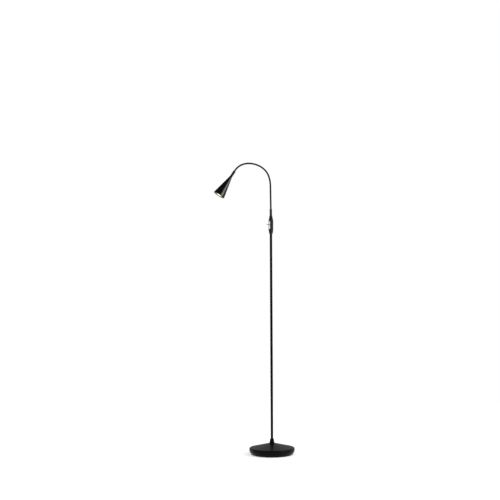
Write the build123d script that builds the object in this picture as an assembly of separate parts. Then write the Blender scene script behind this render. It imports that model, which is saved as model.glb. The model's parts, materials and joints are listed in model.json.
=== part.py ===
from build123d import *
from math import asin, cos, pi, radians, sin, sqrt, tan
import os

# Floor reading lamp: weighted base, slim pole, toggle switch housing, gooseneck, conical LED head.
# Origin at the centre of the base on the floor, +Z up, the head leans over towards -X. Millimetres.

# Base
base_radius = 100.0
rim_height = 29.3  # where the side wall and the cone would meet, before rounding
cone_height = 50.0  # flat land on top of the cone
land_radius = 13.0
foot_taper = 9.5  # the skirt narrows by this much at the floor
taper_height = 15.0
foot_edge_round = 2.5
taper_round = 10.0
shoulder_round = 5.0
land_round = 4.0
cover_wall = 1.5
lip_flat = 2.0  # the skirt turns in under the weight by this much
lip_gap = 0.8  # lip above the floor
pad_thickness = 2.0
pad_inset = 1.0
weight_thickness = 17.5
weight_clearance = 0.3
boss_wall = 7.0
boss_roof = 3.4
boss_land_inset = 2.0  # boss narrower than the land that it carries
recess_radius = 17.0
recess_depth = 26.1

# Cord gland in the back of the skirt
gland_radius = 5.0
gland_wall = 1.8
gland_length = 17.0
gland_proud = 1.0
gland_height = 9.0
gland_fit = 0.1
channel_clearance = 0.3

# Pole, stud and collar
pole_radius = 5.5
pole_wall = 1.5
pole_length = 922.5
thread_fit = 0.05
slip_fit = 0.05
stud_wall = 1.2
stud_grip = 25.0  # length of stud or nipple inside the pole
stud_tail = 0.8  # stud below its nut
washer_radius = 12.0
washer_thickness = 1.6
lock_washer_radius = 8.0
lock_washer_thickness = 2.0
nut_flats = 13.0
nut_thickness = 6.5
collar_foot_radius = 13.0
collar_foot_edge = 0.8
collar_waist_radius = 10.3
collar_waist_height = 2.4
collar_flare = 5.0
collar_top_radius = 8.4
collar_height = 19.0
collar_floor = 3.5
collar_round = 1.6

# Switch housing and its cap
housing_radius = 10.4
housing_wall = 3.7
housing_foot_radius = 7.0
housing_taper = 23.0
housing_straight = 35.2
housing_foot_chamfer = 1.2
pole_socket = 8.0
nipple_thread = 4.0
cap_height = 22.8
cap_top_radius = 5.9
cap_plug = 6.0
cap_edge = 1.0

# Switch plate and toggle, facing half towards the reader
switch_facing = 220.0
plate_length = 36.0
plate_width = 6.5
plate_thickness = 1.2
plate_drop = 1.0  # plate below the middle of the straight part
pocket_clearance = 0.3
pocket_edge_depth = 0.3
screw_spacing = 29.0
screw_head_radius = 1.7
screw_shank_radius = 1.0
screw_length = 2.6
switch_width = 9.0
switch_height = 18.0
switch_clearance = 0.6
lug_length = 5.0
lug_width = 2.4
lug_thickness = 0.8
bush_radius = 2.4
bush_bore = 1.75
bush_proud = 3.0
toggle_nut_flats = 6.2
toggle_nut_thickness = 1.6
pivot_depth = 2.0  # lever pivot behind the mouth of the bush
lever_length = 21.5
lever_root_radius = 0.9
lever_tip_radius = 1.6
lever_ball_clearance = 0.3
lever_rest_tilt = 9.0

# Gooseneck
neck_radius = 3.75
neck_wall = 1.45
link_length = 21.0
neck_foot_free = 6.0  # foot ferrule to the first joint
neck_head_free = 14.7  # last joint to the head ferrule
neck_insert = 18.0  # depth in each ferrule
joint_clearance = 0.3
ribs_per_link = 7
groove_width = 1.5
groove_depth = 0.35
lean_joints = 5  # straight lower joints, which lean sideways
foot_bend = 0.8  # slight bend at the first joint
curl_bends = [7.2, 10.5, 15.5, 15, 13.5, 11, 10.5, 13, 14, 17, 18]  # degrees of bend at rest
ferrule_wall = 1.75
ferrule_chamfer = 0.7
foot_ferrule_length = 28.2
head_ferrule_length = 31.0
spigot_wall = 1.2
spigot_length = 12.0
arm_lead_radius = 1.1
arm_lead_turn = 6.3  # length of each link that the lead bends in, beside a joint
mains_lead_clearance = 0.55
lead_end_gap = 0.3

# Head
shade_length = 95.7
shade_mouth_radius = 26.0
shade_step = 0.5  # shade crown wider than the ferrule
shade_wall = 1.2
shade_lip = 2.5
shade_crown = 2.0
shade_round = 0.5
sink_length = 70.0
sink_clearance = 0.4
sink_core_radius = 6.0
fin_count = 5
fin_gap = 5.0
fin_pitch = 9.5
fin_start = 18.0
board_radius = 14.0
board_thickness = 1.6
chip_size = 9.0
chip_thickness = 1.0
lens_radius = 12.5
lens_recess = 1.3
lens_flange = 2.0
lens_neck_radius = 5.5
lens_gap = 0.6
lens_crown = 0.8  # bulge of the lens front
holder_wall = 1.8
holder_flange_radius = 16.0
holder_flange = 1.5
holder_clearance = 0.3
bezel_clearance = 0.2
bezel_rise = 0.8
bezel_thickness = 1.6

# Levels and radii that follow from the sizes above
foot_radius = base_radius - foot_taper
taper_slope = foot_taper / (taper_height - lip_gap)
lip_radius = foot_radius - foot_edge_round - lip_flat
lip_top = lip_gap + cover_wall
boss_top = cone_height - cover_wall
recess_top = pad_thickness + recess_depth
gland_bore = gland_radius - gland_wall
gland_outer = base_radius + gland_proud
collar_base = cone_height
pole_foot = collar_base + collar_floor
pole_top = pole_foot + pole_length
pole_bore = pole_radius - pole_wall
stud_radius = pole_bore - thread_fit
stud_bore = stud_radius - stud_wall
stud_hole = stud_radius + thread_fit
nut_top = recess_top - washer_thickness - lock_washer_thickness
stud_foot = nut_top - nut_thickness - stud_tail
housing_foot = pole_top - pole_socket
cavity_radius = housing_radius - housing_wall
cavity_floor = pole_top + nipple_thread
plate_middle = housing_foot + housing_taper + housing_straight / 2 - plate_drop
cap_foot = housing_foot + housing_taper + housing_straight
cap_top = cap_foot + cap_height
neck_bore = neck_radius - neck_wall
spigot_radius = neck_bore + spigot_wall
ferrule_radius = neck_radius + ferrule_wall
neck_foot = cap_top + foot_ferrule_length

# Switch, measured along its facing direction from the pole's axis
pocket_half_width = plate_width / 2 + pocket_clearance
plate_seat = sqrt(housing_radius**2 - pocket_half_width**2) - pocket_edge_depth
plate_face = plate_seat + plate_thickness
switch_half_depth = sqrt(cavity_radius**2 - (switch_width / 2) ** 2) - switch_clearance
bush_mouth = plate_face + bush_proud
pivot = bush_mouth - pivot_depth
lever_ball_radius = bush_bore - lever_ball_clearance
switch_frame = Pos(0, 0, plate_middle) * Rot(0, 0, switch_facing)

# Head, measured along its axis from the crown of the shade
crown_radius = ferrule_radius + shade_step
cone_length = shade_length - shade_lip
shade_slope = (shade_mouth_radius - crown_radius) / cone_length
shade_inset = shade_wall * sqrt(1 + shade_slope**2)  # wall measured square to the axis
sink_end = shade_crown + sink_length
board_front = sink_end + board_thickness
chip_front = board_front + chip_thickness
lens_front = shade_length - lens_recess
lens_seat = lens_front - lens_flange
holder_radius = lens_radius + holder_clearance


def lathe(*corners):
    # Turned solid about Z. A corner is (radius, height) or (radius, height, rounding).
    points = [(corner[0], corner[1]) for corner in corners]
    rounds = [corner[2] if len(corner) == 3 else 0 for corner in corners]
    outline = make_face(FilletPolyline(*points, radius=rounds, close=True))
    return revolve(Plane.XZ * outline, Axis.Z)


def tube(outer, inner, low, high):
    return lathe((inner, low), (outer, low), (outer, high), (inner, high))


def hex_nut(flats, hole, thickness):
    outline = RegularPolygon(flats / 2, 6, major_radius=False) - Circle(hole)
    return extrude(outline, thickness)


# Base pieces


def floor_pad():
    return extrude(Circle(lip_radius - pad_inset), pad_thickness)


def base_cover():
    # One pressed sheet: lip, tapered foot, side wall, shoulder, cone and flat land.
    sheet = FilletPolyline(
        (lip_radius, lip_gap),
        (foot_radius, lip_gap),
        (base_radius, taper_height),
        (base_radius, rim_height),
        (land_radius, cone_height),
        (stud_hole, cone_height),
        radius=[foot_edge_round, taper_round, shoulder_round, land_round],
    )
    section = make_face(offset(sheet, cover_wall, side=Side.LEFT))
    return revolve(Plane.XZ * section, Axis.Z) - gland_hole(gland_radius + gland_fit)


def gland_hole(radius):
    hole = Cylinder(radius, 2 * base_radius, align=(Align.CENTER, Align.CENTER, Align.MIN))
    return Pos(0, 0, gland_height) * Rot(-90, 0, 0) * hole


def base_weight():
    # Its side keeps the same distance from the cover all the way up.
    inset = cover_wall + weight_clearance
    taper_inset = inset * sqrt(1 + taper_slope**2)
    radius = base_radius - inset
    step = lip_radius - weight_clearance
    step_height = lip_top + weight_clearance
    taper_foot = foot_radius + taper_slope * (step_height - lip_gap) - taper_inset
    taper_top = lip_gap + (radius - foot_radius + taper_inset) / taper_slope
    top = pad_thickness + weight_thickness
    boss = recess_radius + boss_wall
    body = lathe(
        (stud_hole, recess_top),
        (recess_radius, recess_top),
        (recess_radius, pad_thickness),
        (step, pad_thickness),
        (step, step_height),
        (taper_foot, step_height, foot_edge_round - inset),
        (radius, taper_top, taper_round - inset),
        (radius, top),
        (boss, top),
        (boss, recess_top + boss_roof),
        (land_radius - boss_land_inset, boss_top),
        (stud_hole, boss_top),
    )
    width = 2 * (gland_radius + channel_clearance)
    height = gland_height + gland_radius + channel_clearance
    channel = Box(width, base_radius, height, align=(Align.CENTER, Align.MIN, Align.MIN))
    return body - channel


def cord_gland():
    bush = tube(gland_radius, gland_bore, gland_outer - gland_length, gland_outer)
    return Pos(0, 0, gland_height) * Rot(-90, 0, 0) * bush


def base_collar():
    top = collar_base + collar_height
    return lathe(
        (stud_hole, collar_base),
        (collar_foot_radius, collar_base),
        (collar_foot_radius, collar_base + collar_foot_edge),
        (collar_waist_radius, collar_base + collar_waist_height, collar_flare),
        (collar_top_radius, top, collar_round),
        (pole_radius + slip_fit, top),
        (pole_radius + slip_fit, pole_foot),
        (stud_hole, pole_foot),
    )


def pole_stud():
    return tube(stud_radius, stud_bore, stud_foot, pole_foot + stud_grip)


def stud_washer():
    return tube(washer_radius, stud_hole, recess_top - washer_thickness, recess_top)


def stud_lock_washer():
    # Split spring washer, closed flat under load.
    ring = tube(lock_washer_radius, stud_hole, nut_top, nut_top + lock_washer_thickness)
    slit = Box(lock_washer_radius, 1, 2 * nut_top, align=(Align.MIN, Align.CENTER, Align.MIN))
    return ring - slit


def stud_nut():
    return Pos(0, 0, nut_top - nut_thickness) * hex_nut(nut_flats, stud_hole, nut_thickness)


def pole():
    return tube(pole_radius, pole_bore, pole_foot, pole_top)


def pole_nipple():
    return tube(stud_radius, stud_bore, pole_top - stud_grip, cavity_floor)


def mains_lead():
    # From the gland along the channel in the weight, up the stud and the pole to the switch.
    start = gland_outer - gland_length - lead_end_gap
    end = plate_middle - switch_height / 2 - lead_end_gap
    bend = stud_foot - gland_height
    route = FilletPolyline((0, start, gland_height), (0, 0, gland_height), (0, 0, end), radius=bend)
    section = Plane(origin=route @ 0, z_dir=route % 0) * Circle(stud_bore - mains_lead_clearance)
    return sweep(section, path=route)


# Switch pieces, drawn with +X as the facing direction


def switch_housing():
    foot_edge = housing_foot + housing_foot_chamfer
    shoulder = housing_foot + housing_taper
    seat = pole_radius + slip_fit
    flank = TangentArc((housing_radius, shoulder), (housing_foot_radius, foot_edge), tangent=(0, -1))
    rest = Polyline(
        (housing_foot_radius, foot_edge),
        (housing_foot_radius - housing_foot_chamfer, housing_foot),
        (seat, housing_foot),
        (seat, pole_top),
        (stud_hole, pole_top),
        (stud_hole, cavity_floor),
        (cavity_radius, cavity_floor),
        (cavity_radius, cap_foot),
        (housing_radius, cap_foot),
        (housing_radius, shoulder),
    )
    shell = revolve(Plane.XZ * make_face([flank, rest]), Axis.Z)
    pocket_length = plate_length + 2 * pocket_clearance
    pocket = SlotOverall(pocket_length, 2 * pocket_half_width, rotation=90)
    pocket = extrude(Plane.YZ.offset(plate_seat) * pocket, housing_radius)
    window = extrude(Plane.YZ * Circle(bush_radius + pocket_clearance), housing_radius)
    return shell - switch_frame * (pocket + window + screw_pair(thread_fit))


def housing_cap():
    return lathe(
        (spigot_radius + thread_fit, cap_foot - cap_plug),
        (cavity_radius - slip_fit, cap_foot - cap_plug),
        (cavity_radius - slip_fit, cap_foot),
        (housing_radius, cap_foot),
        (housing_radius, cap_foot + cap_edge),
        (cap_top_radius, cap_top),
        (spigot_radius + thread_fit, cap_top),
    )


def screw_pair(clearance):
    # Two countersunk screws, also the cutter for their holes.
    head_height = screw_head_radius - screw_shank_radius
    tip = plate_face - head_height - screw_length
    screw = lathe(
        (0, tip - clearance),
        (screw_shank_radius + clearance, tip - clearance),
        (screw_shank_radius + clearance, plate_face - head_height - clearance),
        (screw_head_radius + clearance, plate_face),
        (0, plate_face),
    )
    screw = Rot(0, 90, 0) * screw
    return Pos(0, 0, screw_spacing / 2) * screw + Pos(0, 0, -screw_spacing / 2) * screw


def plate_screws():
    return switch_frame * screw_pair(0)


def switch_plate():
    outline = SlotOverall(plate_length, plate_width, rotation=90)
    outline -= Circle(bush_radius + slip_fit)
    plate = extrude(Plane.YZ.offset(plate_seat) * outline, plate_thickness)
    return switch_frame * (plate - screw_pair(thread_fit))


def switch_body():
    body = Box(2 * switch_half_depth, switch_width, switch_height)
    lug = Box(lug_thickness, lug_width, lug_length, align=(Align.CENTER, Align.CENTER, Align.MIN))
    lugs = [Pos(side * switch_half_depth / 2, 0, switch_height / 2) * lug for side in (-1, 1)]
    return switch_frame * (body + lugs)


def toggle_bushing():
    return switch_frame * Rot(0, 90, 0) * tube(bush_radius, bush_bore, switch_half_depth, bush_mouth)


def toggle_nut():
    nut = hex_nut(toggle_nut_flats, bush_radius + thread_fit, toggle_nut_thickness)
    return switch_frame * Pos(plate_face, 0, 0) * Rot(0, 90, 0) * nut


def toggle_lever():
    # Bat handle: a ball at the pivot and a stem that thickens to a round end.
    tip = lever_length - lever_tip_radius
    stem = lathe((0, 0), (lever_root_radius, 0), (lever_tip_radius, tip), (0, tip))
    lever = stem + Sphere(lever_ball_radius) + Pos(0, 0, tip) * Sphere(lever_tip_radius)
    return switch_frame * Pos(pivot, 0, 0) * Rot(0, 90 - lever_rest_tilt, 0) * lever


# Gooseneck


def neck_direction(tilt):
    return Vector(-sin(radians(tilt)), 0, cos(radians(tilt)))


def neck_chain():
    # Joint centres from the foot to the head, and the tilt of the link above each.
    centre = Vector(0, 0, neck_foot + neck_foot_free)
    tilt = 0
    centres = []
    tilts = []
    for bend in neck_bends:
        tilt += bend
        centres.append(centre)
        tilts.append(tilt)
        centre += neck_direction(tilt) * link_length
    return centres, tilts


neck_bends = [foot_bend] + [0] * (lean_joints - 1) + curl_bends
joint_centres, link_tilts = neck_chain()
head_tilt = link_tilts[-1]
head_start = joint_centres[-1] + neck_direction(head_tilt) * neck_head_free
head_frame = Pos(*head_start) * Rot(0, -head_tilt, 0)
shade_frame = head_frame * Pos(0, 0, head_ferrule_length)


def ball_arc(middle, radius, start, end):
    # Arc of a ball about the axis, from one distance off the axis to another.
    halfway = (asin(start / radius) + asin(end / radius)) / 2
    points = [
        (start, middle + sqrt(radius**2 - start**2)),
        (radius * sin(halfway), middle + radius * cos(halfway)),
        (end, middle + sqrt(radius**2 - end**2)),
    ]
    return ThreePointArc(*points)


def neck_tube(low, high, socket, dome):
    # Ribbed tube between two joint centres. A domed end sits in the hollow end of the next link.
    socket_radius = neck_radius + joint_clearance
    rim = sqrt(socket_radius**2 - neck_radius**2)
    pitch = link_length / ribs_per_link
    if socket:
        bottom = ball_arc(low, socket_radius, neck_radius, neck_bore)
    else:
        bottom = Line((neck_radius, low), (neck_bore, low))
    if dome:
        top = ball_arc(high, neck_radius, neck_bore, neck_radius)
    else:
        top = Line((neck_bore, high), (neck_radius, high))
    joint = high if dome else low
    lowest = (bottom @ 0).Y + groove_width / 2
    highest = (top @ 1).Y - groove_width / 2
    if dome and not socket:
        lowest = high - neck_foot_free + groove_width / 2
    if socket and not dome:
        highest = low + neck_head_free - groove_width / 2
    grooves = [joint + rim / 2 + pitch * step for step in range(-ribs_per_link, ribs_per_link + 1)]
    outside = [top @ 1]
    for groove in reversed(grooves):
        if lowest < groove < highest:
            outside.append((neck_radius, groove + groove_width / 2))
            outside.append((neck_radius - groove_depth, groove))
            outside.append((neck_radius, groove - groove_width / 2))
    outside.append(bottom @ 0)
    edges = [bottom, Line(bottom @ 1, top @ 0), top, Polyline(*outside)]
    return revolve(Plane.XZ * make_face(edges), Axis.Z)


def neck_links():
    last = len(joint_centres)
    foot = Pos(0, 0, neck_foot)
    links = {"neck_link_00": foot * neck_tube(-neck_insert, neck_foot_free, False, True)}
    for number in range(1, last):
        frame = Pos(*joint_centres[number - 1]) * Rot(0, -link_tilts[number - 1], 0)
        links[f"neck_link_{number:02d}"] = frame * neck_tube(0, link_length, True, True)
    frame = Pos(*joint_centres[-1]) * Rot(0, -head_tilt, 0)
    end = neck_tube(0, neck_head_free + neck_insert, True, False)
    links[f"neck_link_{last:02d}"] = frame * end
    return links


def ferrule(length):
    # The neck goes in at the bottom, the spigot stands out at the top.
    socket = neck_radius + slip_fit
    spigot_end = length + spigot_length
    return lathe(
        (socket, 0),
        (ferrule_radius - ferrule_chamfer, 0),
        (ferrule_radius, ferrule_chamfer),
        (ferrule_radius, length),
        (spigot_radius, length),
        (spigot_radius, spigot_end),
        (neck_bore, spigot_end),
        (neck_bore, neck_insert),
        (socket, neck_insert),
    )


def foot_ferrule():
    return Pos(0, 0, neck_foot) * Rot(180, 0, 0) * ferrule(foot_ferrule_length)


def head_ferrule():
    return head_frame * ferrule(head_ferrule_length)


def arm_lead():
    # From the switch lugs through the gooseneck to the back of the LED board.
    start = Vector(0, 0, plate_middle + switch_height / 2 + lead_end_gap)
    bends = [bend for bend in neck_bends if bend]
    corners = [centre for centre, bend in zip(joint_centres, neck_bends) if bend]
    reach = head_ferrule_length + sink_end - lead_end_gap
    end = head_start + neck_direction(head_tilt) * reach
    radii = [arm_lead_turn / tan(radians(bend / 2)) for bend in bends]
    route = FilletPolyline(start, *corners, end, radius=radii)
    section = Plane(origin=route @ 0, z_dir=route % 0) * Circle(arm_lead_radius)
    lead = sweep(section, path=route)
    print("arm lead: tightest bend", round(min(radii)), "mm")
    print("arm lead: volume over section times length", lead.volume / (pi * arm_lead_radius**2 * route.length))
    return lead


# Head pieces, drawn along +Z from the crown of the shade


def shade_inner(height):
    return min(crown_radius + shade_slope * height, shade_mouth_radius) - shade_inset


def shade():
    cone = lathe(
        (spigot_radius + thread_fit, 0),
        (crown_radius, 0),
        (shade_mouth_radius, cone_length),
        (shade_mouth_radius, shade_length, shade_round),
        (shade_mouth_radius - shade_inset, shade_length, shade_round),
        (shade_mouth_radius - shade_inset, cone_length),
        (shade_inner(shade_crown), shade_crown),
        (spigot_radius + thread_fit, shade_crown),
    )
    return shade_frame * cone


def heat_sink():
    # Turned aluminium cone with ring fins, screwed on the spigot of the head ferrule.
    def skin(height):
        return shade_inner(height) - sink_clearance

    thread = spigot_length + lead_end_gap
    corners = [(spigot_radius + thread_fit, shade_crown), (skin(shade_crown), shade_crown)]
    for fin in range(fin_count):
        low = fin_start + fin * fin_pitch
        high = low + fin_gap
        corners += [(skin(low), low), (sink_core_radius, low), (sink_core_radius, high), (skin(high), high)]
    corners += [(skin(sink_end), sink_end), (neck_bore, sink_end)]
    corners += [(neck_bore, thread), (spigot_radius + thread_fit, thread)]
    return shade_frame * lathe(*corners)


def led_board():
    return shade_frame * Pos(0, 0, sink_end) * extrude(Circle(board_radius), board_thickness)


def led_chip():
    return shade_frame * Pos(0, 0, board_front) * extrude(Rectangle(chip_size, chip_size), chip_thickness)


def lens():
    # Collimator: narrow over the chip, wide and slightly domed at the front.
    back = chip_front + lens_gap
    outline = Polyline(
        (lens_radius, lens_front),
        (lens_radius, lens_seat),
        (lens_radius - holder_wall + holder_clearance, lens_seat),
        (lens_neck_radius, back),
        (0, back),
        (0, lens_front + lens_crown),
    )
    dome = ThreePointArc(
        (lens_radius, lens_front),
        (lens_radius / 2, lens_front + lens_crown * 3 / 4),
        (0, lens_front + lens_crown),
    )
    return shade_frame * revolve(Plane.XZ * make_face([outline, dome]), Axis.Z)


def lens_holder():
    inner = lens_radius - holder_wall + 2 * holder_clearance
    return shade_frame * lathe(
        (inner, board_front),
        (holder_radius, board_front),
        (holder_radius, lens_seat - holder_flange),
        (holder_flange_radius, lens_seat - holder_flange),
        (holder_flange_radius, lens_seat),
        (inner, lens_seat),
    )


def bezel_ring():
    # Sloping trim ring between the lens and the wall of the shade.
    inner = lens_radius + bezel_clearance
    outer = shade_inner(lens_seat) - bezel_clearance
    rim = lens_front + bezel_rise
    return shade_frame * lathe(
        (inner, lens_seat),
        (holder_flange_radius, lens_seat),
        (outer, rim - bezel_thickness),
        (outer, rim),
        (inner, lens_front),
    )


parts = {
    "floor_pad": floor_pad(),
    "base_weight": base_weight(),
    "base_cover": base_cover(),
    "cord_gland": cord_gland(),
    "base_collar": base_collar(),
    "pole_stud": pole_stud(),
    "stud_washer": stud_washer(),
    "stud_lock_washer": stud_lock_washer(),
    "stud_nut": stud_nut(),
    "pole": pole(),
    "pole_nipple": pole_nipple(),
    "mains_lead": mains_lead(),
    "switch_housing": switch_housing(),
    "housing_cap": housing_cap(),
    "switch_plate": switch_plate(),
    "plate_screws": plate_screws(),
    "switch_body": switch_body(),
    "toggle_bushing": toggle_bushing(),
    "toggle_nut": toggle_nut(),
    "toggle_lever": toggle_lever(),
    "foot_ferrule": foot_ferrule(),
    **neck_links(),
    "arm_lead": arm_lead(),
    "head_ferrule": head_ferrule(),
    "shade": shade(),
    "heat_sink": heat_sink(),
    "led_board": led_board(),
    "led_chip": led_chip(),
    "lens": lens(),
    "lens_holder": lens_holder(),
    "bezel_ring": bezel_ring(),
}

os.makedirs("parts", exist_ok=True)
for name, solid in parts.items():
    export_step(solid, f"parts/{name}.step")
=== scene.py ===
import json
from math import cos, pi, radians, sin, tan

import bpy
import numpy as np
from mathutils import Matrix, Vector


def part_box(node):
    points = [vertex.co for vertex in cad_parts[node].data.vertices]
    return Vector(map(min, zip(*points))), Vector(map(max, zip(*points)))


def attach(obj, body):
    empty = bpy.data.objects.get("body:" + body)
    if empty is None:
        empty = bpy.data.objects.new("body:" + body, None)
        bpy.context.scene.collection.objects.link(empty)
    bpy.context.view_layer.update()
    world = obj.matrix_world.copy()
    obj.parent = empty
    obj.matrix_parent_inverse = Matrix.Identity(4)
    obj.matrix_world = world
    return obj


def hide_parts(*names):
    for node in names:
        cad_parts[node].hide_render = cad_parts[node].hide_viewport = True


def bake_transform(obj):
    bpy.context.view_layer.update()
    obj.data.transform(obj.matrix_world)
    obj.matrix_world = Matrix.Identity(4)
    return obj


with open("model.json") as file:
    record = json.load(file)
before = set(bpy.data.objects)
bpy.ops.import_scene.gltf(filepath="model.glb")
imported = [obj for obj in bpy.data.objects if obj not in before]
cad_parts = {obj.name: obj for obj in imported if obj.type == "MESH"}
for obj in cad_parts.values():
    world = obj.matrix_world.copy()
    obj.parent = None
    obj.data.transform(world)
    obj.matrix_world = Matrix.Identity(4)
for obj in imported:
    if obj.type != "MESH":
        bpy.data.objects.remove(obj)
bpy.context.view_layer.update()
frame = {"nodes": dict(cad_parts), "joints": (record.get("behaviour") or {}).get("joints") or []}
mm = 0.001
jointByName = {joint["name"]: joint for joint in frame["joints"]}


# meshes


def addPiece(name, points, faces, material, sharpAngle=50.0):
    # one object at the origin, with its place in its mesh; edges past sharpAngle degrees stay crisp
    mesh = bpy.data.meshes.new(name)
    mesh.from_pydata(points, [], faces)
    mesh.polygons.foreach_set("use_smooth", np.ones(len(mesh.polygons), dtype=bool))
    mesh.set_sharp_from_angle(angle=radians(sharpAngle))
    mesh.materials.append(material)
    mesh.update()
    piece = bpy.data.objects.new(name, mesh)
    bpy.context.collection.objects.link(piece)
    return piece


def ringFaces(rings, around, loop=False, first=0):
    # quads between neighbouring rings, each ring joined to itself; a loop joins the last ring to
    # the first one, and otherwise a face closes each end; points are counted on from first
    ring = np.arange(rings if loop else rings - 1)[:, None]
    above = (ring + 1) % rings
    column = np.arange(around)[None, :]
    beside = (column + 1) % around
    corners = [ring * around + column, ring * around + beside]
    corners += [above * around + beside, above * around + column]
    quads = np.stack(np.broadcast_arrays(*corners), axis=-1).reshape(-1, 4)
    faces = (first + quads).tolist()
    if not loop:
        startRing = first + np.arange(around)
        endRing = startRing + (rings - 1) * around
        faces.append(startRing[::-1].tolist())
        faces.append(endRing.tolist())
    return faces


def turned(radius, height, angle):
    # rings about local Z: radius and height are arrays over (place along the profile, angle)
    x, y, z = np.broadcast_arrays(radius * np.cos(angle), radius * np.sin(angle), height)
    return np.stack([x, y, z], axis=-1)


def placed(points, matrix):
    # a grid of points turned and moved by the matrix, as one list
    turn = np.array(matrix.to_3x3())
    return (points @ turn.T + np.array(matrix.translation)).reshape(-1, 3)


def smoothStep(value):
    # 0 up to 0, 1 from 1 on, and an S-shaped cubic between
    value = np.clip(value, 0, 1)
    return value * value * (3 - 2 * value)


def fullTurn(count):
    # even angles round a circle, as one row
    return np.linspace(0, 2 * pi, count, endpoint=False)[None, :]


# shared shader pieces


def newGroup(name, inputs, outputs):
    group = bpy.data.node_groups.new(name, "ShaderNodeTree")
    for socketName, kind, value in inputs:
        socket = group.interface.new_socket(socketName, in_out="INPUT", socket_type=kind)
        socket.default_value = value
    for socketName, kind in outputs:
        group.interface.new_socket(socketName, in_out="OUTPUT", socket_type=kind)
    return group, group.nodes.new("NodeGroupInput"), group.nodes.new("NodeGroupOutput")


def newMaterial(name):
    material = bpy.data.materials.new(name)
    material.use_nodes = True
    tree = material.node_tree
    return material, tree, tree.nodes["Principled BSDF"]


def addNode(tree, kind, values=None, **settings):
    # values go into the node's inputs, settings onto the node itself
    node = tree.nodes.new(kind)
    for key, value in settings.items():
        setattr(node, key, value)
    for key, value in (values or {}).items():
        node.inputs[key].default_value = value
    return node


def joinAll(tree, *pairs):
    for source, target in pairs:
        tree.links.new(source, target)


grainLook = {
    "fineDetail": 2.0, "fineRoughness": 0.55, "driftDetail": 4.0, "driftRoughness": 0.6,
    "driftRange": (0.3, 0.7),  # the part of the drift's noise that is stretched to 0 to 1
}


def makeFinishGrain():
    # fine texture for the bump, and a slow drift that shifts colour and gloss
    number, vector = "NodeSocketFloat", "NodeSocketVector"
    inputs = [("Place", vector, (0, 0, 0)), ("Fine Size", number, 1.0), ("Drift Size", number, 1.0)]
    group, into, out = newGroup("finishGrain", inputs, [("Height", number), ("Drift", number)])
    fineValues = {"Detail": grainLook["fineDetail"], "Roughness": grainLook["fineRoughness"]}
    driftValues = {"Detail": grainLook["driftDetail"], "Roughness": grainLook["driftRoughness"]}
    low, high = grainLook["driftRange"]
    fine = addNode(group, "ShaderNodeTexNoise", fineValues)
    drift = addNode(group, "ShaderNodeTexNoise", driftValues)
    level = addNode(group, "ShaderNodeMapRange", {"From Min": low, "From Max": high})
    joinAll(
        group,
        (into.outputs["Place"], fine.inputs["Vector"]),
        (into.outputs["Fine Size"], fine.inputs["Scale"]),
        (into.outputs["Place"], drift.inputs["Vector"]),
        (into.outputs["Drift Size"], drift.inputs["Scale"]),
        (drift.outputs["Fac"], level.inputs["Value"]),
        (fine.outputs["Fac"], out.inputs["Height"]),
        (level.outputs["Result"], out.inputs["Drift"]),
    )
    return group


finishGrain = makeFinishGrain()


# finishes: each one is the base's paint with its own values over it

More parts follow.
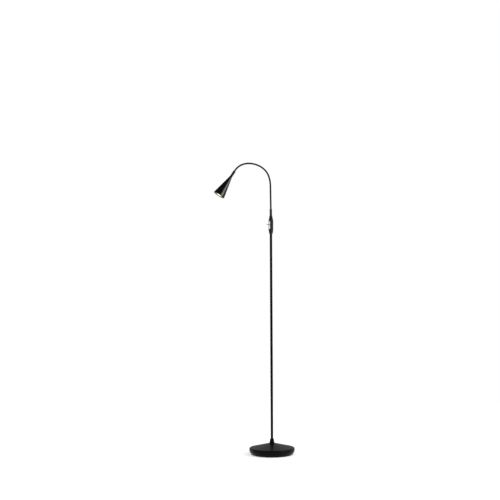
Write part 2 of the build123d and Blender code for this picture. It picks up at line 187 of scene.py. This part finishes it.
paintLook = {
    "dark": (0.004, 0.004, 0.0045), "light": (0.006, 0.006, 0.0066), "roughness": (0.27, 0.33),
    "fineSize": 900.0, "driftSize": 14.0, "stretch": (1, 1, 1), "bump": 0.2, "bumpHeight": 0.2 * mm,
    "specular": 0.06, "metallic": 0.0, "sheen": 0.0,
}
finishLooks = {
    "basePaint": {},
    "polePaint": {"dark": (0.003, 0.003, 0.003), "light": (0.005, 0.005, 0.005)},
    "housingPaint": {
        "dark": (0.012, 0.0122, 0.0128), "light": (0.016, 0.0162, 0.017), "roughness": (0.46, 0.54),
        "specular": 0.24,
    },
    "ferrulePaint": {
        "dark": (0.036, 0.036, 0.038), "light": (0.044, 0.044, 0.047), "roughness": (0.38, 0.45),
    },
    "shadePaint": {
        "dark": (0.002, 0.002, 0.002), "light": (0.003, 0.003, 0.003), "roughness": (0.18, 0.22),
        "bump": 0.08, "specular": 0.5,
    },
    "neckPaint": {
        "dark": (0.002, 0.002, 0.002), "light": (0.004, 0.004, 0.004), "roughness": (0.45, 0.55),
        "specular": 0.12,
    },
    "felt": {
        "dark": (0.016, 0.016, 0.017), "light": (0.034, 0.034, 0.036), "roughness": (0.9, 1.0),
        "fineSize": 2600.0, "driftSize": 160.0, "bump": 0.9, "bumpHeight": 0.6 * mm,
        "specular": 0.1, "sheen": 0.25,
    },
    "castIron": {
        "dark": (0.07, 0.07, 0.075), "light": (0.13, 0.13, 0.135), "roughness": (0.5, 0.7),
        "fineSize": 700.0, "driftSize": 40.0, "bump": 0.6, "bumpHeight": 0.6 * mm,
        "specular": 0.5, "metallic": 0.7,
    },
    "glandNylon": {
        "dark": (0.014, 0.014, 0.014), "light": (0.022, 0.022, 0.022), "roughness": (0.45, 0.55),
        "specular": 0.4,
    },
    "zincPlate": {
        "dark": (0.46, 0.46, 0.44), "light": (0.62, 0.62, 0.60), "roughness": (0.28, 0.42),
        "driftSize": 220.0, "specular": 0.5, "metallic": 1.0,
    },
    "leadSheath": {
        "dark": (0.016, 0.016, 0.016), "light": (0.024, 0.024, 0.024), "roughness": (0.5, 0.6),
        "specular": 0.4,
    },
    "nickelPlate": {
        "dark": (0.86, 0.83, 0.86), "light": (0.93, 0.90, 0.93), "roughness": (0.2, 0.28),
        "fineSize": 2400.0, "driftSize": 120.0, "stretch": (1, 1, 0.08), "bump": 0.05,
        "specular": 0.5, "metallic": 1.0,
    },
    "leverMetal": {
        "dark": (0.22, 0.20, 0.17), "light": (0.30, 0.27, 0.23), "roughness": (0.22, 0.3),
        "driftSize": 160.0, "specular": 0.5, "metallic": 1.0,
    },
    "switchPhenolic": {
        "dark": (0.11, 0.02, 0.017), "light": (0.16, 0.032, 0.026), "roughness": (0.4, 0.5),
        "specular": 0.5,
    },
    "turnedAluminium": {
        "dark": (0.60, 0.61, 0.62), "light": (0.74, 0.75, 0.76), "roughness": (0.25, 0.35),
        "driftSize": 90.0, "specular": 0.5, "metallic": 1.0,
    },
    "phosphor": {
        "dark": (0.85, 0.62, 0.12), "light": (0.95, 0.75, 0.2), "roughness": (0.5, 0.6),
        "driftSize": 300.0, "specular": 0.4,
    },
    "holderPlastic": {
        "dark": (0.014, 0.014, 0.014), "light": (0.02, 0.02, 0.02), "roughness": (0.5, 0.6),
        "specular": 0.4,
    },
    "bezelMetal": {
        "dark": (0.008, 0.010, 0.014), "light": (0.012, 0.015, 0.020), "roughness": (0.3, 0.36),
        "driftSize": 120.0, "specular": 0.4,
    },
}
finishNodes = {
    "basePaint": ["base_cover", "base_collar"],
    "polePaint": ["pole"],
    "housingPaint": ["switch_housing", "housing_cap"],
    "ferrulePaint": ["foot_ferrule"],
    "shadePaint": ["shade", "head_ferrule"],
    "castIron": ["base_weight"],
    "glandNylon": ["cord_gland"],
    "zincPlate": ["pole_stud", "stud_washer", "stud_lock_washer", "stud_nut", "pole_nipple"],
    "leadSheath": ["mains_lead"],
    "leverMetal": ["toggle_lever"],
    "switchPhenolic": ["switch_body"],
    "turnedAluminium": ["heat_sink", "led_board"],
    "phosphor": ["led_chip"],
    "holderPlastic": ["lens_holder"],
    "bezelMetal": ["bezel_ring"],
}


def makeFinish(name, look):
    # colour and roughness wander between two values, over a fine bump
    material, tree, shader = newMaterial(name)
    place = addNode(tree, "ShaderNodeTexCoord")
    mapping = addNode(tree, "ShaderNodeMapping", {"Scale": look["stretch"]})
    grain = addNode(tree, "ShaderNodeGroup", node_tree=finishGrain)
    grain.inputs["Fine Size"].default_value = look["fineSize"]
    grain.inputs["Drift Size"].default_value = look["driftSize"]
    tint = addNode(tree, "ShaderNodeMix", data_type="RGBA")
    tint.inputs["A"].default_value = (*look["dark"], 1)
    tint.inputs["B"].default_value = (*look["light"], 1)
    smooth, rough = look["roughness"]
    gloss = addNode(tree, "ShaderNodeMapRange", {"To Min": smooth, "To Max": rough})
    bumpValues = {"Strength": look["bump"], "Distance": look["bumpHeight"]}
    bump = addNode(tree, "ShaderNodeBump", bumpValues)
    joinAll(
        tree,
        (place.outputs["Object"], mapping.inputs["Vector"]),
        (mapping.outputs["Vector"], grain.inputs["Place"]),
        (grain.outputs["Drift"], tint.inputs["Factor"]),
        (tint.outputs["Result"], shader.inputs["Base Color"]),
        (grain.outputs["Drift"], gloss.inputs["Value"]),
        (gloss.outputs["Result"], shader.inputs["Roughness"]),
        (grain.outputs["Height"], bump.inputs["Height"]),
        (bump.outputs["Normal"], shader.inputs["Normal"]),
    )
    shader.inputs["Metallic"].default_value = look["metallic"]
    shader.inputs["Specular IOR Level"].default_value = look["specular"]
    shader.inputs["Sheen Weight"].default_value = look["sheen"]
    return material


finishes = {name: makeFinish(name, {**paintLook, **own}) for name, own in finishLooks.items()}
for finishName, nodeNames in finishNodes.items():
    for nodeName in nodeNames:
        for slot in frame["nodes"][nodeName].material_slots:
            slot.material = finishes[finishName]
print("finishes:", len(finishes))


# neck: a ribbed skin over each joint, from the middle of one link to the middle of the next

neckLook = {
    "radius": 3.75 * mm, "around": 28, "ribsPerLink": 7, "ribSteps": 16,
    "grooveDepth": 0.35 * mm, "grooveSharpness": 5.0, "sharpAngle": 80.0,
    "tuck": 6.0 * mm,  # length of each end inside its ferrule
    "headTilt": radians(146.0),
    "headFree": 14.7 * mm,  # from the last joint to the head ferrule
    "leastTurn": 1e-4,  # radians, and a joint that turns less is drawn straight
    "bentFromAbove": ["neck_curl_5"],
}
neckNames = [joint["name"] for joint in frame["joints"] if joint["name"].startswith("neck_")]
neckPlaces = np.array([jointByName[name]["pos_m"] for name in neckNames])
linkSteps = np.diff(neckPlaces, axis=0)
linkLength = np.linalg.norm(linkSteps[0])
halfLink = linkLength / 2
stepTilts = np.arctan2(-linkSteps[:, 0], linkSteps[:, 2])
linkTilts = np.concatenate([[0.0], stepTilts, [neckLook["headTilt"]]])


def along(tilt):
    # unit direction up a link that leans by tilt from upright, in the XZ plane
    return np.stack([-np.sin(tilt), np.zeros_like(tilt), np.cos(tilt)], axis=-1)


def across(tilt):
    # unit direction square to such a link, in the same plane
    return np.stack([np.cos(tilt), np.zeros_like(tilt), np.sin(tilt)], axis=-1)


def neckSkin(number, before, after):
    # tube round a centre line that leaves the lower link straight, turns on one arc past the joint
    # and runs straight into the upper link; its radius drops in a helical groove once in each rib
    lowTilt, highTilt = linkTilts[number], linkTilts[number + 1]
    turn = highTilt - lowTilt
    start = neckPlaces[number] - along(lowTilt) * halfLink
    end = neckPlaces[number] + along(highTilt) * halfLink
    ribs, around = neckLook["ribsPerLink"], neckLook["around"]
    steps = int(ribs * neckLook["ribSteps"] * (before + after) / linkLength)
    run = np.linspace(-before, after, steps + 1)
    share = np.clip(run / linkLength + 0.5, 0, 1)
    tilt = lowTilt + turn * share
    if abs(turn) > neckLook["leastTurn"]:
        arc = halfLink / tan(turn / 2)
        centre = start + arc * (across(tilt) - across(lowTilt))
    else:
        centre = start + along(tilt) * (share * linkLength)[:, None]
    beyond = np.minimum(run + halfLink, 0) + np.maximum(run - halfLink, 0)
    centre = centre + along(tilt) * beyond[:, None]
    angle = fullTurn(around)
    phase = (run[:, None] / linkLength + number) * ribs
    wave = 0.5 + 0.5 * np.cos(2 * pi * phase + angle)
    radius = neckLook["radius"] - neckLook["grooveDepth"] * wave ** neckLook["grooveSharpness"]
    outward = across(tilt)[:, None, :]
    sideways = np.array([0.0, 1.0, 0.0])
    spokes = outward * np.cos(angle)[..., None] + sideways * np.sin(angle)[..., None]
    points = (centre[:, None, :] + spokes * radius[..., None]).reshape(-1, 3)
    faces = ringFaces(len(run), around)
    name = f"neckSkin_{number + 1:02d}"
    piece = addPiece(name, points, faces, finishes["neckPaint"], neckLook["sharpAngle"])
    return piece, start, end


def buildNeck():
    footFree = neckPlaces[0][2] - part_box("foot_ferrule")[1][2]
    for number, name in enumerate(neckNames):
        atFoot = number == 0
        atHead = number == len(neckNames) - 1
        before = footFree + neckLook["tuck"] if atFoot else halfLink
        after = neckLook["headFree"] + neckLook["tuck"] if atHead else halfLink
        piece, start, end = neckSkin(number, before, after)
        if name in neckLook["bentFromAbove"]:
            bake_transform(piece)
        else:
            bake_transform(piece)
        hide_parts(f"neck_link_{number + 1:02d}")
        if atFoot:
            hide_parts("neck_link_00", "arm_lead")
    print("neck:", len(neckNames), "skins of", neckLook["ribsPerLink"], "ribs")


# felt pad under the base

padLook = {
    "thickness": 2.0 * mm, "edge": 0.7 * mm, "edgeSteps": 9, "around": 240,
    "waver": 0.12 * mm, "waves": (23, 9),
}


def buildPad():
    # flat disc whose edge is rolled on two quarter circles; its radius wavers with the angle by the
    # product of two sine waves, as cut felt does
    low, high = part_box("floor_pad")
    outer = (high[0] - low[0]) / 2
    edge = padLook["edge"]
    bend = np.linspace(-pi / 2, pi / 2, padLook["edgeSteps"])[:, None]
    angle = fullTurn(padLook["around"])
    fineWave, broadWave = padLook["waves"]
    waver = padLook["waver"] * (np.sin(fineWave * angle) * np.sin(broadWave * angle) - 1)
    radius = outer - edge + edge * np.cos(bend) + waver
    lowCurve = edge * (1 + np.sin(bend))
    highCurve = padLook["thickness"] - edge * (1 - np.sin(bend))
    height = np.where(bend < 0, lowCurve, highCurve)
    points = turned(radius, height, angle).reshape(-1, 3)
    piece = addPiece("feltPad", points, ringFaces(len(bend), padLook["around"]), finishes["felt"])
    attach(piece, "stand")
    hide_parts("floor_pad")
    print("felt pad: radius", round(outer / mm, 1), "mm")


# switch: plate finish, threaded bush, nut and two screws, placed from the toggle's pivot

bushLook = {
    "pivotDepth": 2.0 * mm,  # the toggle's pivot below the mouth of the bush
    "proud": 3.0 * mm, "tuck": 3.0 * mm, "radius": 2.4 * mm, "bore": 1.75 * mm, "boreSteps": 6,
    "threadPitch": 0.5 * mm, "threadDepth": 0.2 * mm, "threadSteps": 10,
    "threadEnd": 0.1 * mm, "threadFade": 0.4 * mm, "around": 48, "sharpAngle": 40.0,
}


def switchFrame(up=0.0):
    # local Z along the switch's facing direction from the face of its plate, local Y upright
    joint = jointByName["toggle_flip"]
    facing = Vector((joint["axis"][1], -joint["axis"][0], 0)).normalized()
    side = Vector((-facing.y, facing.x, 0))
    plateFace = Vector(joint["pos_m"]) + facing * (bushLook["pivotDepth"] - bushLook["proud"])
    matrix = Matrix((side, Vector((0, 0, 1)), facing)).transposed().to_4x4()
    matrix.translation = plateFace + Vector((0, 0, up))
    return matrix


plateLook = {
    "length": 36.0 * mm, "width": 6.5 * mm,
    "edge": 0.6 * mm, "edgeSoft": 0.2 * mm, "edgeColour": (0.02, 0.02, 0.021),
}


def polishPlate():
    # nickel, darkened in a band round its edge: the band lies past a set distance from the spine of
    # the oblong
    material = makeFinish("platePolish", {**paintLook, **finishLooks["nickelPlate"]})
    tree = material.node_tree
    shader = tree.nodes["Principled BSDF"]
    polished = shader.inputs["Base Color"].links[0].from_socket
    middle = switchFrame()
    spine = (plateLook["length"] - plateLook["width"]) / 2
    bandStart = plateLook["width"] / 2 - plateLook["edge"]
    place = addNode(tree, "ShaderNodeTexCoord")
    mapping = addNode(tree, "ShaderNodeMapping", vector_type="TEXTURE")
    mapping.inputs["Location"].default_value = middle.translation
    mapping.inputs["Rotation"].default_value = middle.to_euler()
    split = addNode(tree, "ShaderNodeSeparateXYZ")
    height = addNode(tree, "ShaderNodeMath", operation="ABSOLUTE")
    pastSpine = addNode(tree, "ShaderNodeMath", {1: spine}, operation="SUBTRACT", use_clamp=True)
    flat = addNode(tree, "ShaderNodeCombineXYZ")
    distance = addNode(tree, "ShaderNodeVectorMath", operation="LENGTH")
    bandValues = {"From Min": bandStart, "From Max": bandStart + plateLook["edgeSoft"]}
    band = addNode(tree, "ShaderNodeMapRange", bandValues, interpolation_type="SMOOTHSTEP")
    tint = addNode(tree, "ShaderNodeMix", data_type="RGBA")
    tint.inputs["B"].default_value = (*plateLook["edgeColour"], 1)
    joinAll(
        tree,
        (place.outputs["Object"], mapping.inputs["Vector"]),
        (mapping.outputs["Vector"], split.inputs["Vector"]),
        (split.outputs["X"], flat.inputs["X"]),
        (split.outputs["Y"], height.inputs[0]),
        (height.outputs["Value"], pastSpine.inputs[0]),
        (pastSpine.outputs["Value"], flat.inputs["Y"]),
        (flat.outputs["Vector"], distance.inputs[0]),
        (distance.outputs["Value"], band.inputs["Value"]),
        (band.outputs["Result"], tint.inputs["Factor"]),
        (polished, tint.inputs["A"]),
        (tint.outputs["Result"], shader.inputs["Base Color"]),
    )
    for slot in frame["nodes"]["switch_plate"].material_slots:
        slot.material = material


screwLook = {
    "spacing": 29.0 * mm, "radius": 1.7 * mm, "depth": 0.8 * mm, "proud": 0.02 * mm,
    "middle": 0.02, "shank": 0.55,  # radii of the innermost and the lowest ring, as shares
    "recessDepth": 0.7 * mm, "recessHalfWidth": 0.25 * mm, "recessReach": 1.0 * mm,
    "recessSoft": 0.12 * mm, "recessTaper": 0.4, "rings": 22, "around": 72, "sharpAngle": 35.0,
}


def slotMask(offset, reach):
    # 1 inside a slot of the cross recess and 0 outside it, with soft sides and ends
    soft = screwLook["recessSoft"]
    inWidth = smoothStep((screwLook["recessHalfWidth"] - np.abs(offset)) / soft + 0.5)
    inLength = smoothStep((screwLook["recessReach"] - np.abs(reach)) / soft + 0.5)
    return inWidth * inLength


def screwHead(up):
    # countersunk head on a polar grid; two crossed slots sink into its face, deepest at the middle
    face = np.linspace(screwLook["middle"], 1, screwLook["rings"])
    share = np.append(face, screwLook["shank"])[:, None]
    angle = fullTurn(screwLook["around"])
    radius = share * screwLook["radius"]
    x, y = radius * np.cos(angle), radius * np.sin(angle)
    sink = np.maximum(slotMask(x, y), slotMask(y, x)) * (1 - screwLook["recessTaper"] * share)
    height = screwLook["proud"] - screwLook["recessDepth"] * sink
    height[-1] = -screwLook["depth"]
    return placed(turned(radius, height, angle)[::-1], switchFrame(up))


def buildScrews():
    lower, upper = (screwHead(end * screwLook["spacing"]) for end in (-0.5, 0.5))
    rings, around = screwLook["rings"] + 1, screwLook["around"]
    faces = ringFaces(rings, around) + ringFaces(rings, around, first=len(lower))
    points = np.concatenate([lower, upper])
    piece = addPiece("plateScrews", points, faces, finishes["nickelPlate"], screwLook["sharpAngle"])
    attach(piece, "stand")
    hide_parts("plate_screws")


def buildBush():
    # outside radius falls to the thread's root once a turn along a helix, and stays there near the
    # mouth; the path then crosses the mouth and goes back down the plain bore
    tuck, mouth = -bushLook["tuck"], bushLook["proud"]
    pitch, around = bushLook["threadPitch"], bushLook["around"]
    steps = int((mouth - tuck) / pitch * bushLook["threadSteps"])
    rise = np.linspace(tuck, mouth, steps)[:, None]
    angle = fullTurn(around)
    phase = rise / pitch + angle / (2 * pi)
    groove = 2 * np.abs(phase % 1 - 0.5)
    fade = smoothStep((mouth - bushLook["threadEnd"] - rise) / bushLook["threadFade"])
    outside = bushLook["radius"] - bushLook["threadDepth"] * (groove * fade + (1 - fade))
    bore = np.full((bushLook["boreSteps"], around), bushLook["bore"])
    boreRise = np.linspace(mouth, tuck, bushLook["boreSteps"])[:, None]
    radius = np.concatenate([outside, bore])
    height = np.concatenate([rise, boreRise])
    points = placed(turned(radius, height, angle), switchFrame())
    faces = ringFaces(len(height), around, loop=True)
    piece = addPiece("toggleBush", points, faces, finishes["nickelPlate"], bushLook["sharpAngle"])
    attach(piece, "stand")
    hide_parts("toggle_bushing")


nutLook = {
    "flats": 6.2 * mm, "thickness": 1.6 * mm, "chamfer": 0.35 * mm, "chamferSteps": 5,
    "coneStart": 1.01, "coneSlope": 1.7, "around": 96, "sharpAngle": 25.0,
}


def buildNut():
    # hexagon radius over the angle, cut back to a cone at the outer face, round a plain bore
    around, thickness = nutLook["around"], nutLook["thickness"]
    angle = fullTurn(around)
    apothem = nutLook["flats"] / 2
    hexagon = apothem / np.cos((angle + pi / 6) % (pi / 3) - pi / 6)
    chamferRise = np.linspace(thickness - nutLook["chamfer"], thickness, nutLook["chamferSteps"])
    rise = np.append(0.0, chamferRise)[:, None]
    cone = apothem * nutLook["coneStart"] + (thickness - rise) * nutLook["coneSlope"]
    outside = np.minimum(hexagon, cone)
    bore = np.full((1, around), bushLook["radius"])
    radius = np.concatenate([bore, outside, bore])
    height = np.concatenate([[[0.0]], rise, [[thickness]]])
    points = placed(turned(radius, height, angle), switchFrame())
    faces = ringFaces(len(height), around, loop=True)
    piece = addPiece("toggleNut", points, faces, finishes["nickelPlate"], nutLook["sharpAngle"])
    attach(piece, "stand")
    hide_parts("toggle_nut")


def buildSwitch():
    polishPlate()
    buildScrews()
    buildBush()
    buildNut()
    print("switch: two screws, threaded bush, nut")


# lit lens with a pillowed front

lensLook = {
    "radius": 12.5 * mm, "crown": 0.8 * mm, "skirt": 2.0 * mm,
    "fromNeck": 140.1 * mm,  # rim of the lens from the last joint of the neck
    "pillowPitch": 2.1 * mm, "pillowHeight": 0.22 * mm,
    "pillowEnd": 0.96, "pillowFade": 0.06, "middle": 0.01,  # shares of the radius
    "core": (1.0, 0.95, 0.58), "coreShare": 0.3, "edge": (0.42, 0.21, 0.08), "strength": 1.35,
    "unlit": (0.5, 0.47, 0.4), "roughness": 0.15, "rings": 48, "around": 120, "sharpAngle": 40.0,
}
headAxis = Vector(along(linkTilts[-1]))
headBase = Vector(neckPlaces[-1])


def headFrame(reach):
    # local Z along the head, from a point that far past the last joint of the neck
    side = Vector((0, 1, 0))
    matrix = Matrix((side.cross(headAxis), side, headAxis)).transposed().to_4x4()
    matrix.translation = headBase + headAxis * reach
    return matrix


def makeLensGlow():
    # warm white that deepens from the middle of the lens to its edge
    material, tree, shader = newMaterial("lensGlow")
    mouth = headFrame(lensLook["fromNeck"])
    place = addNode(tree, "ShaderNodeTexCoord")
    mapping = addNode(tree, "ShaderNodeMapping", vector_type="TEXTURE")
    mapping.inputs["Location"].default_value = mouth.translation
    mapping.inputs["Rotation"].default_value = mouth.to_euler()
    flat = addNode(tree, "ShaderNodeVectorMath", {1: (1, 1, 0)}, operation="MULTIPLY")
    distance = addNode(tree, "ShaderNodeVectorMath", operation="LENGTH")
    share = addNode(tree, "ShaderNodeMapRange", {"From Max": lensLook["radius"]})
    ramp = addNode(tree, "ShaderNodeValToRGB")
    core, edge = ramp.color_ramp.elements
    core.position = lensLook["coreShare"]
    core.color = (*lensLook["core"], 1)
    edge.color = (*lensLook["edge"], 1)
    joinAll(
        tree,
        (place.outputs["Object"], mapping.inputs["Vector"]),
        (mapping.outputs["Vector"], flat.inputs[0]),
        (flat.outputs["Vector"], distance.inputs[0]),
        (distance.outputs["Value"], share.inputs["Value"]),
        (share.outputs["Result"], ramp.inputs["Fac"]),
        (ramp.outputs["Color"], shader.inputs["Emission Color"]),
    )
    shader.inputs["Emission Strength"].default_value = lensLook["strength"]
    shader.inputs["Base Color"].default_value = (*lensLook["unlit"], 1)
    shader.inputs["Roughness"].default_value = lensLook["roughness"]
    return material


def buildLens():
    # shallow dome on a polar grid, with a quilt of small pillows that fades out before the rim
    front = np.linspace(lensLook["middle"], 1, lensLook["rings"])
    share = np.append(front, 1.0)[:, None]
    angle = fullTurn(lensLook["around"])
    radius = share * lensLook["radius"]
    x, y = radius * np.cos(angle), radius * np.sin(angle)
    pitch = lensLook["pillowPitch"]
    quilt = np.abs(np.cos(pi * x / pitch) * np.cos(pi * y / pitch)) - 1
    fade = smoothStep((lensLook["pillowEnd"] - share) / lensLook["pillowFade"])
    height = lensLook["crown"] * (1 - share**2) + lensLook["pillowHeight"] * quilt * fade
    height[-1] = -lensLook["skirt"]
    points = placed(turned(radius, height, angle)[::-1], headFrame(lensLook["fromNeck"]))
    faces = ringFaces(len(share), lensLook["around"])
    piece = addPiece("litLens", points, faces, makeLensGlow(), lensLook["sharpAngle"])
    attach(piece, "head")
    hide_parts("lens")
    print("lens: radius", round(lensLook["radius"] / mm, 1), "mm")


# camera: level, at the photograph's height and bearing

photoView = {
    "distance": 5.3, "height": 0.8985, "sideways": 0.0924,
    "turn": radians(-15.0), "roll": radians(-0.286), "lens": 86.8, "sensor": 36.0,
}
viewRight = Vector((cos(photoView["turn"]), sin(photoView["turn"]), 0))
viewForward = Vector((-sin(photoView["turn"]), cos(photoView["turn"]), 0))


def placeCamera():
    data = bpy.data.cameras.new("photoCamera")
    data.lens = photoView["lens"]
    data.sensor_width = photoView["sensor"]
    camera = bpy.data.objects.new("photoCamera", data)
    bpy.context.collection.objects.link(camera)
    place = -photoView["distance"] * viewForward - photoView["sideways"] * viewRight
    place.z = photoView["height"]
    level = Matrix.Rotation(photoView["turn"], 4, "Z") @ Matrix.Rotation(pi / 2, 4, "X")
    roll = Matrix.Rotation(photoView["roll"], 4, "Z")
    camera.matrix_world = Matrix.Translation(place) @ level @ roll
    bpy.context.scene.camera = camera
    print("camera:", photoView["distance"], "m away")


# studio: room, floor and two soft boxes

roomLook = {
    "ambient": 0.65, "front": 0.05, "back": 0.92, "lowBack": 0.4,
    "backRange": (0.5, 0.9),  # cosine to the view direction where the backdrop begins and is full
    "lowRange": (0.45, 0.3),  # sine of the height where its lower part begins and is full
}


def easedMask(tree, limits):
    # 0 at the first limit, 1 at the second, eased between them
    values = {"From Min": limits[0], "From Max": limits[1]}
    return addNode(tree, "ShaderNodeMapRange", values, interpolation_type="SMOOTHSTEP")


def buildRoom():
    # even light for matt surfaces; reflections see a bright backdrop behind the lamp, greyer low
    # down, and a dim room in front; the camera sees white everywhere
    world = bpy.data.worlds.new("studioRoom")
    bpy.context.scene.world = world
    world.use_nodes = True
    tree = world.node_tree
    background = tree.nodes["Background"]
    background.inputs["Color"].default_value = (1, 1, 1, 1)
    rays = addNode(tree, "ShaderNodeLightPath")
    place = addNode(tree, "ShaderNodeTexCoord")
    facing = addNode(tree, "ShaderNodeVectorMath", {1: viewForward}, operation="DOT_PRODUCT")
    split = addNode(tree, "ShaderNodeSeparateXYZ")
    behind = easedMask(tree, roomLook["backRange"])
    low = easedMask(tree, roomLook["lowRange"])
    lowBehind = addNode(tree, "ShaderNodeMath", operation="MULTIPLY")
    walls = addNode(tree, "ShaderNodeMix", {"A": roomLook["front"], "B": roomLook["back"]})
    mirrored = addNode(tree, "ShaderNodeMix", {"B": roomLook["lowBack"]})
    seen = addNode(tree, "ShaderNodeMix", {"A": roomLook["ambient"]})
    clear = addNode(tree, "ShaderNodeMath", operation="MAXIMUM")
    strength = addNode(tree, "ShaderNodeMix", {"B": 1.0})
    joinAll(
        tree,
        (place.outputs["Generated"], facing.inputs[0]),
        (place.outputs["Generated"], split.inputs[0]),
        (facing.outputs["Value"], behind.inputs["Value"]),
        (split.outputs["Z"], low.inputs["Value"]),
        (behind.outputs["Result"], lowBehind.inputs[0]),
        (low.outputs["Result"], lowBehind.inputs[1]),
        (behind.outputs["Result"], walls.inputs["Factor"]),
        (lowBehind.outputs["Value"], mirrored.inputs["Factor"]),
        (walls.outputs["Result"], mirrored.inputs["A"]),
        (rays.outputs["Is Glossy Ray"], seen.inputs["Factor"]),
        (mirrored.outputs["Result"], seen.inputs["B"]),
        (rays.outputs["Is Camera Ray"], clear.inputs[0]),
        (rays.outputs["Is Transmission Ray"], clear.inputs[1]),
        (clear.outputs["Value"], strength.inputs["Factor"]),
        (seen.outputs["Result"], strength.inputs["A"]),
        (strength.outputs["Result"], background.inputs["Strength"]),
    )


floorLook = {
    "radius": 2.2, "around": 96, "colour": (0.85, 0.85, 0.85), "roughness": 0.9, "specular": 0.0,
    "glow": 0.44,
}


def buildFloor():
    # flat disc that camera and mirror see lifted to the room's white, with the lamp's shadow kept
    material, tree, shader = newMaterial("studioFloor")
    shader.inputs["Base Color"].default_value = (*floorLook["colour"], 1)
    shader.inputs["Roughness"].default_value = floorLook["roughness"]
    shader.inputs["Specular IOR Level"].default_value = floorLook["specular"]
    shader.inputs["Emission Color"].default_value = (1, 1, 1, 1)
    rays = addNode(tree, "ShaderNodeLightPath")
    clear = addNode(tree, "ShaderNodeMath", operation="MAXIMUM")
    shown = addNode(tree, "ShaderNodeMath", operation="MAXIMUM")
    glow = addNode(tree, "ShaderNodeMath", {1: floorLook["glow"]}, operation="MULTIPLY")
    joinAll(
        tree,
        (rays.outputs["Is Camera Ray"], clear.inputs[0]),
        (rays.outputs["Is Transmission Ray"], clear.inputs[1]),
        (rays.outputs["Is Glossy Ray"], shown.inputs[0]),
        (clear.outputs["Value"], shown.inputs[1]),
        (shown.outputs["Value"], glow.inputs[0]),
        (glow.outputs["Value"], shader.inputs["Emission Strength"]),
    )
    around = floorLook["around"]
    rim = turned(np.full((1, around), floorLook["radius"]), 0.0, fullTurn(around)).reshape(-1, 3)
    addPiece("studioFloor", rim, [list(range(around))], material)


softBoxes = [
    {"name": "rightBox", "bearing": -66.0, "reach": 2.4, "height": 1.4, "size": (1.9, 1.3),
     "power": 36.0, "colour": (1.0, 0.99, 0.92)},
    {"name": "leftBox", "bearing": 70.0, "reach": 2.3, "height": 0.95, "size": (1.2, 1.0),
     "power": 4.0, "colour": (0.97, 0.96, 1.0)},
]


def buildSoftBoxes():
    # each box stands at its bearing from the camera's side of the lamp, and faces the lamp's axis
    for box in softBoxes:
        data = bpy.data.lights.new(box["name"], "AREA")
        data.shape = "RECTANGLE"
        data.size, data.size_y = box["size"]
        data.energy = box["power"]
        data.color = box["colour"]
        bearing = Matrix.Rotation(-radians(box["bearing"]), 3, "Z")
        place = bearing @ (-viewForward) * box["reach"]
        place.z = box["height"]
        aim = Vector((0, 0, box["height"])) - place
        turn = aim.to_track_quat("-Z", "Y").to_matrix().to_4x4()
        light = bpy.data.objects.new(box["name"], data)
        bpy.context.collection.objects.link(light)
        light.matrix_world = Matrix.Translation(place) @ turn


def buildStudio():
    bpy.context.scene.view_settings.view_transform = "Standard"
    buildRoom()
    buildFloor()
    buildSoftBoxes()
    print("studio:", len(softBoxes), "soft boxes")


buildNeck()
buildPad()
buildSwitch()
buildLens()
placeCamera()
buildStudio()
